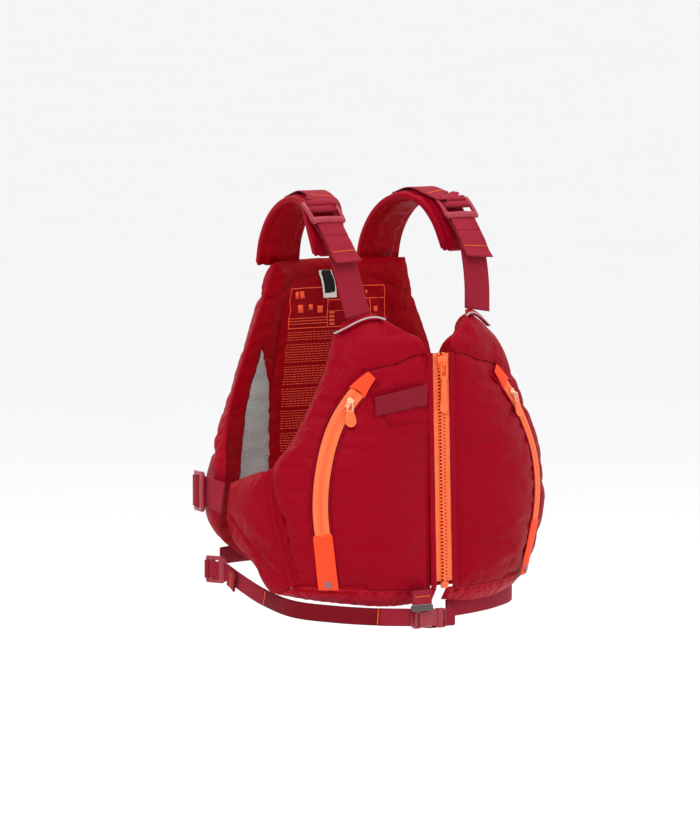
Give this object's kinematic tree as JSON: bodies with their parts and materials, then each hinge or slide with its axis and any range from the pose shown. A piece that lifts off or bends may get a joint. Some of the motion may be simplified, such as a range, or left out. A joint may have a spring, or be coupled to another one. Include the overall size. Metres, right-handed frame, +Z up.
{
  "type": "life jacket",
  "caption": "Front-zip paddling life jacket: foam front and back panels, padded adjustable shoulder straps, side straps, waist belt with side-release buckle and two zipped pockets.",
  "frame": {"origin": "on the torso's upright axis, at the height of the lowest buckle, where the wearer's torso enters", "axes": "+Z up, -Y out of the chest, +X to the wearer's left"},
  "size_m": [0.4312, 0.2895, 0.5351],
  "materials": {
    "shell_fabric": "plain-woven nylon, crimson, satin",
    "lining_fabric": "plain-woven nylon lining, dark red, matt",
    "foam": "closed-cell foam, matt",
    "webbing": "flat woven polyester webbing, red, matt",
    "zip_tape": "knitted zip tape, light orange",
    "zip_patch": "coated fabric patch, red-orange",
    "orange_plastic": "moulded acetal, orange",
    "red_plastic": "moulded acetal, red, satin gloss",
    "slider_metal": "plated zinc, bright",
    "clip_plastic": "moulded plastic, dark grey",
    "reflective_piping": "reflective woven piping, silver grey"
  },
  "bodies": {
    "jacket": {"back_cover": "shell_fabric", "back_foam": "foam", "back_liner": "lining_fabric", "belt_back": "webbing", "belt_strap_left": "webbing", "belt_strap_right": "webbing", "buckle_socket": "red_plastic", "front_cover_left": "shell_fabric", "front_cover_right": "shell_fabric", "front_foam_left": "foam", "front_foam_right": "foam", "front_liner_left": "lining_fabric", "front_liner_right": "lining_fabric", "front_webbing_left": "webbing", "front_webbing_right": "webbing", "hem_gusset_left": "shell_fabric", "hem_gusset_right": "shell_fabric", "lash_patch": "webbing", "pad_webbing_left": "webbing", "pad_webbing_right": "webbing", "piping_left": "reflective_piping", "piping_right": "reflective_piping", "pocket_garage_left": "zip_patch", "pocket_garage_right": "zip_patch", "pocket_rivet_left": "red_plastic", "pocket_rivet_right": "red_plastic", "pocket_tab_left": "zip_patch", "pocket_tab_right": "zip_patch", "pocket_zip_left": "zip_tape", "pocket_zip_right": "zip_tape", "shoulder_pad_left": "shell_fabric", "shoulder_pad_right": "shell_fabric", "side_strap_left": "webbing", "side_strap_right": "webbing", "side_wing_left": "shell_fabric", "side_wing_right": "shell_fabric", "strap_tail_left": "webbing", "strap_tail_right": "webbing", "zip_box": "orange_plastic", "zip_tape_left": "zip_tape", "zip_tape_right": "zip_tape", "zip_teeth_left": "orange_plastic", "zip_teeth_right": "orange_plastic"},
    "zip_slider": {"zip_slider": "slider_metal"},
    "zip_puller": {"zip_puller": "orange_plastic"},
    "buckle_plug": {"buckle_plug": "red_plastic", "plug_loop": "webbing"},
    "drop_tab": {"drop_tab": "webbing", "tab_clip": "clip_plastic"},
    "pocket_slider_right": {"pocket_slider_right": "slider_metal"},
    "pocket_slider_left": {"pocket_slider_left": "slider_metal"},
    "pocket_puller_right": {"pocket_puller_right": "orange_plastic"},
    "pocket_puller_left": {"pocket_puller_left": "orange_plastic"},
    "shoulder_lock_right": {"shoulder_lock_right": "red_plastic"},
    "shoulder_lock_left": {"shoulder_lock_left": "red_plastic"},
    "side_lock_right": {"side_lock_right": "red_plastic"},
    "side_lock_left": {"side_lock_left": "red_plastic"},
    "belt_lock_right": {"belt_lock_right": "red_plastic"},
    "belt_lock_left": {"belt_lock_left": "red_plastic"}
  },
  "joints": [
    {"name": "main_zip_slide", "type": "slide", "parent": "jacket", "child": "zip_slider", "axis": [0, -0.0312, -0.9995], "range_m": [0, 0.25]},
    {"name": "main_puller_flip", "type": "hinge", "parent": "zip_slider", "child": "zip_puller", "pos_m": [0, -0.13391, 0.326], "axis": [-1, 0, 0], "range_deg": [0, 150]},
    {"name": "pocket_zip_right_run", "type": "hinge", "parent": "jacket", "child": "pocket_slider_right", "pos_m": [0.034, -0.10933, 0.16], "axis": [0, -1, 0], "range_deg": [0, 46]},
    {"name": "pocket_puller_right_flip", "type": "hinge", "parent": "pocket_slider_right", "child": "pocket_puller_right", "pos_m": [-0.12603, -0.11204, 0.28321], "axis": [-0.928, 0.3726, 0], "range_deg": [0, 120]},
    {"name": "shoulder_lock_right_tilt", "type": "hinge", "parent": "jacket", "child": "shoulder_lock_right", "pos_m": [-0.1015, -0.00944, 0.52085], "axis": [-1, 0, 0], "range_deg": [0, 18]},
    {"name": "side_lock_right_tilt", "type": "hinge", "parent": "jacket", "child": "side_lock_right", "pos_m": [-0.20813, 0.10415, 0.163], "axis": [0, 0, -1], "range_deg": [0, 40]},
    {"name": "belt_lock_right_tilt", "type": "hinge", "parent": "jacket", "child": "belt_lock_right", "pos_m": [-0.1889, 0.10671, 0.063], "axis": [0, 0, -1], "range_deg": [0, 40]},
    {"name": "pocket_zip_left_run", "type": "hinge", "parent": "jacket", "child": "pocket_slider_left", "pos_m": [-0.034, -0.10933, 0.16], "axis": [0, 1, 0], "range_deg": [0, 46]},
    {"name": "pocket_puller_left_flip", "type": "hinge", "parent": "pocket_slider_left", "child": "pocket_puller_left", "pos_m": [0.12603, -0.11204, 0.28321], "axis": [-0.928, -0.3726, 0], "range_deg": [0, 120]},
    {"name": "shoulder_lock_left_tilt", "type": "hinge", "parent": "jacket", "child": "shoulder_lock_left", "pos_m": [0.1015, -0.00944, 0.52085], "axis": [-1, 0, 0], "range_deg": [0, 18]},
    {"name": "side_lock_left_tilt", "type": "hinge", "parent": "jacket", "child": "side_lock_left", "pos_m": [0.20813, 0.10415, 0.163], "axis": [0, 0, 1], "range_deg": [0, 40]},
    {"name": "belt_lock_left_tilt", "type": "hinge", "parent": "jacket", "child": "belt_lock_left", "pos_m": [0.1889, 0.10671, 0.063], "axis": [0, 0, 1], "range_deg": [0, 40]},
    {"name": "buckle_release", "type": "slide", "parent": "jacket", "child": "buckle_plug", "axis": [1, 0, 0], "range_m": [0, 0.024]},
    {"name": "drop_tab_swing", "type": "hinge", "parent": "jacket", "child": "drop_tab", "pos_m": [-0.04, -0.144, 0.0505], "axis": [-1, 0, 0], "range_deg": [0, 70]}
  ]
}
